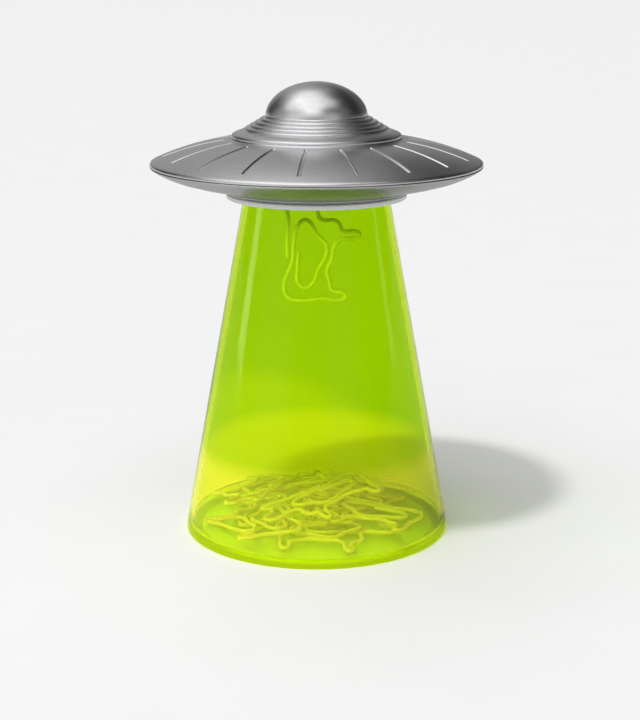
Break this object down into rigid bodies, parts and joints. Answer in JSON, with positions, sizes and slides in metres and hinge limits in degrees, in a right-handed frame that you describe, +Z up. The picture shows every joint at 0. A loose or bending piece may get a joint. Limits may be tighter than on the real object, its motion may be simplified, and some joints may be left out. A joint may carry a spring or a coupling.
{
  "type": "magnetic paper clip holder",
  "caption": "Flying-saucer lid with a magnet on a clear tapered column that stores bent-wire paper clips; one clip hangs from the magnet.",
  "frame": {"origin": "centre of the base, on the surface that it stands on", "axes": "+Z up, along the column; -Y is the front that the picture shows; +X is right in the picture"},
  "size_m": [0.1018, 0.1016, 0.141],
  "materials": {
    "clear_green": "see-through yellow-green moulded plastic, polished",
    "satin_silver": "satin metallic silver-grey paint on moulded plastic, fine metal flake",
    "pale_grey": "pale satin grey",
    "magnet_plate": "nickel-plated magnet",
    "dark_plastic": "matte dark grey",
    "screw_steel": "plain steel",
    "white_coated_wire": "white plastic coat on steel wire"
  },
  "bodies": {
    "base": {"base_disc": "clear_green", "beam_column": "clear_green", "pile_clip_1": "white_coated_wire", "pile_clip_2": "white_coated_wire", "pile_clip_3": "white_coated_wire", "pile_clip_4": "white_coated_wire", "pile_clip_5": "white_coated_wire", "pile_clip_6": "white_coated_wire", "pile_clip_7": "white_coated_wire", "pile_clip_8": "white_coated_wire", "pile_clip_9": "white_coated_wire", "pile_clip_10": "white_coated_wire", "pile_clip_11": "white_coated_wire"},
    "saucer": {"saucer_upper_shell": "satin_silver", "saucer_lower_shell": "satin_silver", "collar_ring": "pale_grey", "magnet": "magnet_plate", "magnet_cap": "dark_plastic", "case_screw_1": "screw_steel", "case_screw_2": "screw_steel", "case_screw_3": "screw_steel"},
    "hanging_clip": {"hanging_clip": "white_coated_wire"}
  },
  "joints": [
    {"name": "saucer_lift", "type": "slide", "parent": "base", "child": "saucer", "axis": [0, 0, 1], "range_m": [0, 0.08]},
    {"name": "clip_swing", "type": "hinge", "parent": "saucer", "child": "hanging_clip", "pos_m": [0, 0, 0.1104], "axis": [1, 0, 0], "range_deg": [-15, 15]}
  ]
}
